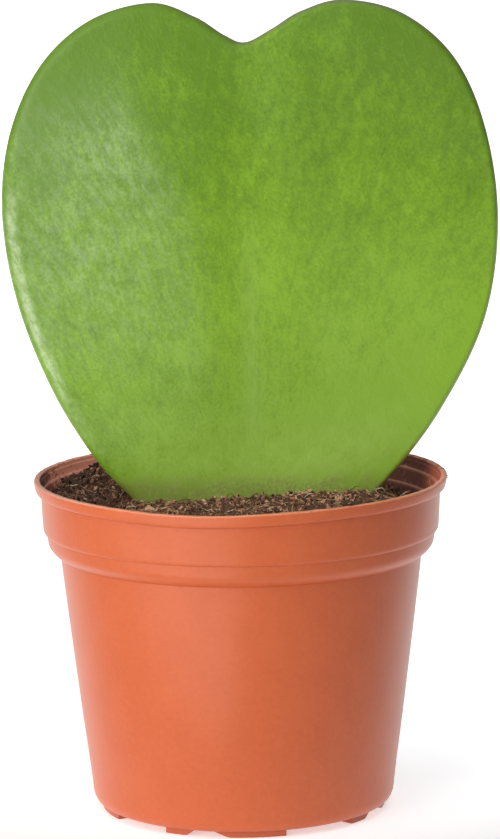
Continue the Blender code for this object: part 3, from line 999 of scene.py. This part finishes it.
@dataclass
class Leaf:
    """The heart-shaped leaf with its wedge-shaped foot, one grown piece.

    Its outline is (across, up) points, and its swells are (across, up, rise, radius),
    both in millimetres. The margins are how far in the edge is rounded, on the left and
    on the right. The fold along the midrib is (depth, width), and the waver of the faces
    (depth, size). The crease on the left lobe is (across, up, slant, slope), and it
    fades in past its foot and out before its top.
    """

    outline: tuple[tuple[float, float], ...] = (
        (-0.4, 111.3), (3.3, 113.1), (7.7, 115.7), (13.9, 117.2), (22.4, 115.0),
        (29.7, 108.4), (34.1, 97.8), (35.7, 84.6), (33.7, 71.0), (27.6, 58.5),
        (20.3, 48.7), (10.8, 38.7), (4.8, 33.6), (2.1, 30.4), (1.9, 26.6),
        (0.0, 24.4), (-1.9, 26.6), (-2.1, 30.4), (-4.8, 33.4), (-10.2, 38.2),
        (-17.0, 45.1), (-22.7, 51.4), (-28.6, 61.1), (-33.4, 73.0), (-35.6, 86.0),
        (-34.4, 97.8), (-29.8, 107.9), (-22.6, 114.5), (-13.8, 117.0), (-7.5, 115.0),
        (-3.4, 112.4))
    curve_steps: int = 14
    heart: tuple[float, float] = (0.0, 84.0)
    half_thickness: float = 1.75 * MM
    margins: tuple[float, float] = (1.6 * MM, 0.95 * MM)
    margins_at: tuple[float, float] = (-18.0 * MM, 12.0 * MM)
    roundness: float = 2.6
    forward: float = 1.4 * MM
    bow: float = 2.0 * MM
    half_width: float = 35.6 * MM
    fold: tuple[float, float] = (0.35 * MM, 5.0 * MM)
    waver: tuple[float, float] = (0.16 * MM, 9.0 * MM)
    edge_insets: tuple[float, ...] = (0.0006, 0.0022, 0.005, 0.009, 0.014, 0.020, 0.027,
                                      0.036, 0.047, 0.060)
    rings: int = 74
    swells: tuple[tuple[float, float, float, float], ...] = (
        (-9.0, 88.0, -1.2, 18.0), (14.0, 84.0, -0.5, 16.0))
    crease: tuple[float, float, float, float] = (-8.5 * MM, 75.5 * MM, -0.24, 0.065)
    crease_foot: tuple[float, float] = (58.0 * MM, 14.0 * MM)
    crease_top: tuple[float, float] = (112.0 * MM, -10.0 * MM)
    crease_round: float = 1.6 * MM

    def curve(self) -> np.ndarray:
        """Draw the outline as a smooth closed curve through its points.

        Returns:
            The curve's points as rows of (across, up).
        """
        control = np.array(self.outline) * MM
        before, after, far = (np.roll(control, shift, axis=0) for shift in (1, -1, -2))
        rows = []
        for step in range(self.curve_steps):
            t = step / self.curve_steps
            rows.append(0.5 * (2.0 * control + (after - before) * t
                               + (2.0 * before - 5.0 * control + 4.0 * after - far) * t ** 2
                               + (3.0 * control - before - 3.0 * after + far) * t ** 3))
        return np.stack(rows, axis=1).reshape(-1, 2)

    @staticmethod
    def inset(points: np.ndarray, curve: np.ndarray) -> np.ndarray:
        """Measure how far points lie in from the outline.

        Args:
            points: rows of (across, up).
            curve: the outline's points.

        Returns:
            Each point's shortest distance.
        """
        sides = np.roll(curve, -1, axis=0) - curve
        nearest = np.full(len(points), np.inf)
        for corner, side in zip(curve, sides):
            share = np.clip(((points - corner) @ side) / (side @ side), 0.0, 1.0)
            gap = points - corner - share[:, None] * side
            nearest = np.minimum(nearest, np.hypot(gap[:, 0], gap[:, 1]))
        return nearest

    def middle(self, across: np.ndarray, up: np.ndarray) -> np.ndarray:
        """Bow, fold, swell and crease the leaf's middle sheet.

        Args:
            across: the points' places from side to side.
            up: their heights.

        Returns:
            How far back the sheet lies at each point.
        """
        depth, width = self.fold
        back = self.bow * (across / self.half_width) ** 2 - self.forward
        back += depth * np.exp(-(across / width) ** 2)
        for swell_x, swell_z, rise, radius in self.swells:
            square = (across / MM - swell_x) ** 2 + (up / MM - swell_z) ** 2
            back += rise * MM * np.exp(-square / radius ** 2)
        crease_x, crease_z, slant, slope = self.crease
        left = crease_x + (up - crease_z) * slant - across
        side = 0.5 * (left + np.sqrt(left ** 2 + self.crease_round ** 2))
        fade = ramp(up, *self.crease_foot) * ramp(up, *self.crease_top)
        return back + slope * side * ease(fade)

    def sheet(self, curve: np.ndarray) -> bpy.types.Object:
        """Draw a flat heart of rings: its edge, drawn in again and again to its middle.

        Args:
            curve: the outline's points.

        Returns:
            The sheet, which stands upright.
        """
        deselect()
        bpy.ops.mesh.primitive_circle_add(vertices=len(curve), radius=self.half_width,
                                          fill_type="NOTHING")
        leaf = new_piece("leaf_blade")
        write_points(leaf, np.column_stack((curve[:, 0], 0.0 * curve[:, 0], curve[:, 1])))
        centre = (self.heart[0] * MM, 0.0, self.heart[1] * MM)
        even = np.linspace(self.edge_insets[-1], 1.0, self.rings + 1)[1:-1]
        shares = 1.0 - np.concatenate(([0.0], self.edge_insets, even))
        with editing(leaf):
            for before, after in zip(shares, shares[1:]):
                bpy.ops.mesh.extrude_region_move()
                bpy.ops.transform.resize(value=[after / before] * 3, center_override=centre)
            bpy.ops.mesh.extrude_region_move()
            bpy.ops.mesh.merge(type="CENTER")
        return leaf

    def build(self) -> bpy.types.Object:
        """Shape the front and back faces from two sheets and dress them.

        Returns:
            The finished leaf.
        """
        curve = self.curve()
        leaf = self.sheet(curve)
        sheet = read_points(leaf)
        inset = self.inset(sheet[:, (0, 2)], curve)
        share = np.minimum(inset / np.interp(sheet[:, 0], self.margins_at, self.margins), 1.0)
        rounded = np.clip(1.0 - (1.0 - share) ** self.roundness, 0.0, 1.0)
        half = self.half_thickness * rounded ** (1.0 / self.roundness)
        depth, size = self.waver
        back = self.middle(sheet[:, 0], sheet[:, 2]) + share * depth * ripple(sheet, size)
        with editing(leaf):
            bpy.ops.mesh.duplicate()
        points = np.concatenate((sheet, sheet))
        points[:, 1] = np.concatenate((back - half, back + half))
        write_points(leaf, points)
        store(leaf, "margin", np.concatenate((inset, inset)) / MM)
        store(leaf, "front", np.repeat((1.0, 0.0), len(inset)))
        point_out(leaf)
        smooth(leaf)
        return hand_over(leaf, LeafSkin().make(), Slot.LEAF, "leaf")


# ---------------------------------------------------------------- compost

@dataclass
class Ground:
    """The level of the compost's surface, which every bit of litter follows.

    Its swells are (across, back, rise, radius) and its lumps (size, rise), in millimetres,
    about the pot's axis. Front, right and left are where each starts, and its fade. The
    warmth is (most, how much less on the left), and its clumps are (size, share).
    """

    centre: float = POT_CENTRE
    level: float = 45.1 * MM
    reach: float = 27.7 * MM
    swells: tuple[tuple[float, float, float, float], ...] = (
        (-22.0, 13.0, 1.7, 11.0), (11.0, -6.0, 1.3, 8.0), (18.5, -6.0, 0.9, 5.0),
        (24.0, 8.0, -2.6, 9.0), (12.0, 20.0, -1.5, 9.0), (-18.0, -5.0, -1.9, 3.0),
        (-2.0, -6.0, 0.35, 7.0), (0.0, -24.0, -0.6, 9.0))
    lumps: tuple[tuple[float, float], ...] = ((3.0, 0.60), (1.2, 0.65), (0.45, 0.22))
    front: tuple[float, float] = (6.0 * MM, -10.0 * MM)
    right: tuple[float, float] = (-20.0 * MM, 8.0 * MM)
    left: tuple[float, float] = (-6.0 * MM, -8.0 * MM)
    warm: tuple[float, float] = (0.21, 0.14)
    plain: float = -0.01
    clump: tuple[float, float] = (1.6 * MM, 0.36)
    clump_layer: float = 4.0 * MM

    def warmth(self, across: float, back: float) -> float:
        """Warm the litter: most at the front, less on its left, and in clumps.

        Args:
            across: the place from side to side.
            back: the place from front to back.

        Returns:
            How much paler and redder the litter is there.
        """
        most, less = self.warm
        size, share = self.clump
        clump = noise.noise(Vector((across, back, self.clump_layer)) / size)
        warm = (most - less * ramp(across, *self.left)) * ramp(back, *self.front)
        return float(warm * ramp(across, *self.right) + self.plain + share * clump)

    def height(self, across: float, back: float) -> float:
        """Find the ground's level, with its swells and lumps.

        Args:
            across: the place from side to side.
            back: the place from front to back.

        Returns:
            The level there.
        """
        level = self.level
        for swell_x, swell_y, rise, radius in self.swells:
            distance = math.hypot(across / MM - swell_x, back / MM - swell_y)
            level += rise * MM * math.exp(-(distance / radius) ** 2)
        place = Vector((across, back, 0.0))
        return level + MM * sum(rise * noise.noise(place / (size * MM))
                                for size, rise in self.lumps)


@dataclass
class Compost:
    """The plug of compost that fills the pot, with a rough crumbly top.

    Its side is (radius, height) points in millimetres, and the spacing is that of the
    rings on its top. The tone is (plain, patchy share).
    """

    ground: Ground
    side: tuple[tuple[float, float], ...] = (
        (0.0, 2.15), (19.4, 2.15), (20.4, 2.6), (20.8, 3.6), (24.9, 36.4), (25.9, 38.3),
        (26.6, 39.4), (26.8, 40.6), (27.2, 41.6), (27.5, 43.2))
    segments: int = 300
    spacing: float = 0.42
    last_ring: float = 0.3
    top_z: float = 44.0 * MM
    tone: tuple[float, float] = (0.36, 0.16)
    tone_size: float = 2.5 * MM
    tone_layer: float = 3.0

    def build(self) -> bpy.types.Object:
        """Turn the plug, rough its top and dress it.

        Returns:
            The finished plug.
        """
        ground = self.ground
        profile = [(radius * MM, height * MM) for radius, height in self.side]
        radii = np.arange(ground.reach / MM, self.last_ring, -self.spacing)
        profile += [(radius * MM, ground.level) for radius in radii]
        profile.append((0.0, ground.level))
        plug = turned("compost_plug", profile, self.segments, ground.centre)
        points = read_points(plug)
        top = points[:, 2] > self.top_z
        points[top, 2] = [ground.height(across - ground.centre, back)
                          for across, back, _ in points[top]]
        write_points(plug, points)
        plain, patchy = self.tone
        store(plug, "tone", plain + patchy * ripple(points, self.tone_size, self.tone_layer))
        smooth(plug)
        return hand_over(plug, SOIL.make(), Slot.COMPOST, "compost")


# (across, back, up, size, tone) of the placed bits, lengths in millimetres: four pale
# chips at the front, then the crumbs that lie on the rim, on the right.
CHIPS = (
    (8.2, -5.0, 47.1, 0.62, 0.86), (2.6, -12.2, 46.0, 0.50, 0.95),
    (4.1, -8.0, 46.2, 0.40, 0.92), (12.1, -8.5, 46.4, 0.48, 0.93),
    (24.5, 13.5, 48.6, 0.26, 0.15), (25.6, 11.2, 48.55, 0.30, 0.55),
    (26.5, 8.7, 48.6, 0.28, 0.12), (27.1, 6.3, 48.65, 0.30, 0.60),
    (27.75, 2.8, 48.7, 0.30, 0.10), (28.15, -1.4, 48.45, 0.34, 0.30),
    (28.2, -3.0, 48.4, 0.28, 0.72))


@dataclass
class Bits:
    """Loose bits of one kind, copied from a few masters into one piece.

    Sizes are in millimetres; tones are (lowest, spread), and the lift is (least, spread)
    as a share of a bit's size. A bias above 1 makes small sizes or dark tones commoner.
    """

    name: str
    ground: Ground
    finish: Litter
    count: int
    sizes: tuple[float, float]
    flat: float
    seed: int
    tones: tuple[float, float] = (0.08, 0.75)
    placed: tuple[tuple[float, float, float, float, float], ...] = ()
    tumble: float = math.pi
    master_count: int = 4
    unevenness: float = 0.36
    proportions: tuple[float, float, float] = (1.0, 0.72, 0.66)
    squash: tuple[float, float] = (0.5, 1.0)
    lift: tuple[float, float] = (0.2, 0.5)
    small_bias: float = 3.0
    dark_bias: float = 1.6
    rim_room: float = 0.6
    sharp: float = 25.0

    def masters(self) -> list[tuple[np.ndarray, np.ndarray]]:
        """Shape a few uneven lumps, each from a ball.

        Returns:
            Each lump's points, and its triangles' corners.
        """
        shapes = []
        for index in range(self.master_count):
            deselect()
            bpy.ops.mesh.primitive_ico_sphere_add(subdivisions=1, radius=1.0)
            lump = new_piece("lump_master")
            with editing(lump):
                bpy.ops.transform.vertex_random(offset=self.unevenness, seed=self.seed + index)
                bpy.ops.transform.resize(value=self.proportions)
            corners = np.empty(3 * len(lump.data.polygons), int)
            lump.data.polygons.foreach_get("vertices", corners)
            shapes.append((read_points(lump), corners.reshape(-1, 3)))
            bpy.data.objects.remove(lump, do_unlink=True)
        return shapes

    def strewn(self, draw: random.Random) -> tuple[Vector, float, float]:
        """Strew one bit over the ground.

        Args:
            draw: the kind's random numbers.

        Returns:
            Its place, its size in millimetres and its tone.
        """
        ground = self.ground
        size = self.sizes[0] + (self.sizes[1] - self.sizes[0]) * draw.random() ** self.small_bias
        radius = (ground.reach - self.rim_room * size * MM) * math.sqrt(draw.random())
        turn = draw.uniform(0.0, 2.0 * math.pi)
        across, back = radius * math.cos(turn), radius * math.sin(turn)
        lift = (self.lift[0] + self.lift[1] * draw.random()) * size * self.flat * MM
        tone = self.tones[0] + self.tones[1] * draw.random() ** self.dark_bias
        place = Vector((ground.centre + across, back, ground.height(across, back) + lift))
        return place, size, tone + ground.warmth(across, back)

    def build(self) -> bpy.types.Object:
        """Scatter the copies over the ground, add the placed ones and dress them.

        Returns:
            The finished bits, as one piece.
        """
        draw = random.Random(self.seed)
        masters = self.masters()
        lots = [self.strewn(draw) for _ in range(self.count)]
        lots += [(Vector(spot[:3]) * MM, spot[3], spot[4]) for spot in self.placed]
        points, faces, tones = [], [], []
        total = 0
        for place, size, tone in lots:
            shape, corners = masters[draw.randrange(self.master_count)]
            spin = Euler([draw.uniform(-self.tumble, self.tumble),
                          draw.uniform(-self.tumble, self.tumble),
                          draw.uniform(0.0, 2.0 * math.pi)]).to_matrix()
            squash = Matrix.Diagonal((1.0, draw.uniform(*self.squash), self.flat))
            matrix = np.array(spin @ squash) * size * MM
            points.append(shape @ matrix.T + np.array(place))
            faces.append(corners + total)
            total += len(shape)
            tones.append(np.full(len(shape), tone))
        mesh = bpy.data.meshes.new(self.name)
        mesh.from_pydata(np.concatenate(points).tolist(), [], np.concatenate(faces).tolist())
        piece = bpy.data.objects.new(self.name, mesh)
        bpy.context.scene.collection.objects.link(piece)
        store(piece, "tone", np.concatenate(tones))
        point_out(piece)
        smooth(piece, self.sharp)
        return hand_over(piece, self.finish.make(), Slot.COMPOST)


@dataclass
class Fibres:
    """Short curled coir fibres that lie on the compost.

    Lengths, thicknesses, lifts and the placed fibres' points are in millimetres; a
    placed fibre is its points, its thickness and its tone. The curl is in radians a
    metre, the arch and the tilt are shares of the length, and a bias above 1 makes
    short, low or dark fibres commoner. The ring is the points round a fibre.
    """

    ground: Ground
    count: int = 2300
    length: tuple[float, float] = (0.5, 3.2)
    thickness: tuple[float, float] = (0.035, 0.080)
    tones: tuple[float, float] = (0.1, 0.7)
    taper: tuple[float, float] = (0.12, 0.76)
    lift: tuple[float, float] = (0.05, 0.35)
    short_bias: float = 1.8
    low_bias: float = 3.0
    dark_bias: float = 1.4
    rim_room: float = 0.7 * MM
    curl: float = 320.0
    wobble: float = 0.4
    arch: float = 0.22
    tilt: float = 0.3
    draw_in: float = 0.985
    points: int = 6
    ring: int = 4
    seed: int = 31
    placed: tuple[tuple[tuple[tuple[float, float, float], ...], float, float], ...] = (
        (((26.55, 3.9, 45.0), (26.3, 4.1, 45.6), (26.05, 5.0, 46.0), (25.98, 5.6, 46.5),
          (26.05, 5.6, 47.0), (26.2, 4.95, 47.45)), 0.12, 1.20),
        (((-17.9, -4.6, 44.6), (-17.6, -4.9, 45.5), (-17.1, -5.1, 46.05),
          (-16.4, -5.1, 45.95), (-15.9, -5.0, 45.3), (-16.2, -4.8, 44.8)), 0.09, 0.72),
        (((-18.6, -5.3, 44.4), (-18.0, -5.7, 45.1), (-17.2, -5.9, 45.3),
          (-16.5, -5.8, 44.9)), 0.08, 0.62),
        (((17.5, -3.4, 46.2), (18.0, -3.3, 46.9), (18.7, -3.3, 47.1), (19.2, -3.4, 46.7),
          (18.9, -3.6, 46.3)), 0.09, 0.85),
        (((21.3, -3.6, 45.9), (22.0, -3.3, 46.3), (22.8, -3.0, 46.6)), 0.10, 0.70))

    def path(self, draw: random.Random) -> list[Vector]:
        """Lay one fibre: a wandering line that arches off the ground.

        Args:
            draw: the fibres' random numbers.

        Returns:
            The line's points.
        """
        ground = self.ground
        low, high = self.length
        length = (low + (high - low) * draw.random() ** self.short_bias) * MM
        radius = (ground.reach - self.rim_room) * math.sqrt(draw.random())
        start = draw.uniform(0.0, 2.0 * math.pi)
        across, back = radius * math.cos(start), radius * math.sin(start)
        heading = draw.uniform(0.0, 2.0 * math.pi)
        curl = draw.uniform(-1.0, 1.0) * self.curl
        rise = draw.random() ** self.low_bias * self.arch * length
        tilt = draw.uniform(-self.tilt, self.tilt) * length
        lift = draw.uniform(*self.lift) * MM
        path = []
        step = length / (self.points - 1)
        for index in range(self.points):
            share = index / (self.points - 1)
            if math.hypot(across, back) > ground.reach:
                across, back = across * self.draw_in, back * self.draw_in
            level = ground.height(across, back) + lift
            level += rise * math.sin(math.pi * share) + tilt * share
            path.append(Vector((ground.centre + across, back, level)))
            heading += curl * step + draw.uniform(-self.wobble, self.wobble)
            across += step * math.cos(heading)
            back += step * math.sin(heading)
        return path

    def build(self) -> bpy.types.Object:
        """Draw every fibre as a tapered line, make them a mesh and dress them.

        Returns:
            The finished fibres, as one piece.
        """
        draw = random.Random(self.seed)
        curve = bpy.data.curves.new("coir_fibres", "CURVE")
        curve.dimensions = "3D"
        curve.bevel_depth = MM
        curve.bevel_resolution = 0
        curve.use_fill_caps = True
        lots = []
        for _ in range(self.count):
            path = self.path(draw)
            warmth = self.ground.warmth(path[0].x - self.ground.centre, path[0].y)
            tone = self.tones[0] + self.tones[1] * draw.random() ** self.dark_bias + warmth
            lots.append((path, draw.uniform(*self.thickness), tone))
        lots += [([Vector(point) * MM for point in path], thick, tone)
                 for path, thick, tone in self.placed]
        tip, swell = self.taper
        tones = []
        for path, thick, tone in lots:
            line = curve.splines.new("POLY")
            line.points.add(len(path) - 1)
            for index, (point, place) in enumerate(zip(line.points, path)):
                along = tip + swell * index / (len(path) - 1)
                point.co = (*place, 1.0)
                point.radius = thick * math.sin(math.pi * along)
            tones += [tone] * (self.ring * (len(path) + 2))
        piece = bpy.data.objects.new("coir_fibres", curve)
        bpy.context.scene.collection.objects.link(piece)
        take(piece)
        bpy.ops.object.convert(target="MESH")
        piece = bpy.context.object
        store(piece, "tone", np.array(tones))
        point_out(piece)
        smooth(piece)
        return hand_over(piece, FIBRE.make(), Slot.COMPOST)


# ---------------------------------------------------------------- studio

@dataclass(frozen=True)
class SoftBox:
    """A soft box that faces the plant, or a glowing card that lies flat and faces up.

    Its azimuth is in degrees from the front, positive to the right, its glow a radiance.
    """

    name: str
    azimuth: float
    height: float
    distance: float
    size: tuple[float, float]
    glow: float
    flat: bool = False
    aim_z: float = 0.06

    def hang(self) -> None:
        """Add the light at its place, unseen by the camera."""
        turn = math.radians(self.azimuth)
        place = Vector((math.sin(turn) * self.distance, -math.cos(turn) * self.distance,
                        self.height))
        aim = (Vector((0.0, 0.0, self.aim_z)) - place).to_track_quat("-Z", "Y").to_euler()
        deselect()
        bpy.ops.object.light_add(type="AREA", location=place,
                                 rotation=(math.pi, 0.0, 0.0) if self.flat else aim)
        light = bpy.context.object
        light.name = self.name
        light.data.shape = "RECTANGLE"
        light.data.size, light.data.size_y = self.size
        light.data.energy = self.glow * math.pi * self.size[0] * self.size[1]
        light.visible_camera = False


@dataclass
class Studio:
    """Pale floor, soft light from the front left, and the camera."""

    eye: tuple[float, float, float] = (-0.00023, -0.570, 0.152)
    pitch: float = -9.489
    roll: float = -0.598
    lens: float = 171.39
    sensor: float = 36.0
    clip: tuple[float, float] = (0.01, 20.0)
    floor_radius: float = 12.0
    floor_steps: int = 96
    world: float = 0.01
    boxes: tuple[SoftBox, ...] = (
        SoftBox("card", -32.6, 0.0015, 0.166, (0.165, 0.18), 1.0, flat=True),
        SoftBox("wide", -62.0, 1.0, 1.7, (3.0, 2.2), 0.86),
        SoftBox("key", -42.0, 0.45, 1.5, (1.3, 0.9), 2.95),
        SoftBox("overhead", 0.0, 1.6, 0.3, (1.6, 1.6), 1.70),
        SoftBox("front", 15.0, 1.2, 1.6, (1.0, 1.0), 1.58),
        SoftBox("back", 180.0, 0.9, 1.8, (3.0, 1.8), 0.30))

    def camera(self) -> None:
        """Set the camera at its fitted place."""
        deselect()
        tilt = Matrix.Rotation(math.radians(90.0 + self.pitch), 3, "X")
        turn = tilt @ Matrix.Rotation(math.radians(self.roll), 3, "Z")
        bpy.ops.object.camera_add(location=self.eye, rotation=turn.to_euler())
        camera = bpy.context.object
        camera.data.lens = self.lens
        camera.data.sensor_width = self.sensor
        camera.data.clip_start, camera.data.clip_end = self.clip
        bpy.context.scene.camera = camera

    def build(self) -> None:
        """Lay the floor and set up the light and the camera."""
        deselect()
        bpy.ops.mesh.primitive_circle_add(vertices=self.floor_steps, radius=self.floor_radius,
                                          fill_type="NGON", location=(0.0, 0.0, 0.0))
        floor = seat(new_piece("floor"))
        floor.data.materials.append(PaleFloor().make())
        world = bpy.data.worlds.new("studio")
        bpy.context.scene.world = world
        world.use_nodes = True
        sky = world.node_tree.nodes["Background"]
        sky.inputs["Color"].default_value = (*WHITE, 1.0)
        sky.inputs["Strength"].default_value = self.world
        for box in self.boxes:
            box.hang()
        self.camera()
        bpy.context.scene.view_settings.view_transform = "Standard"


def main() -> None:
    """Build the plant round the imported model, and the studio round the plant."""
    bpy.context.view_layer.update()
    ground = Ground()
    crumbs = Bits("compost_crumbs", ground, CRUMB, 6600, (0.14, 0.54), 0.85, 11)
    chips = Bits("bark_chips", ground, CRUMB, 170, (0.45, 1.2), 0.32, 17, (0.25, 0.7), CHIPS,
                 tumble=0.5)
    for assembly in (Pot(), Leaf(), Compost(ground), crumbs, chips, Fibres(ground)):
        piece = assembly.build()
        piece.data.calc_loop_triangles()
        log.info("%s: %d triangles", piece.name, len(piece.data.loop_triangles))
    Studio().build()


if __name__ == "__main__":
    main()
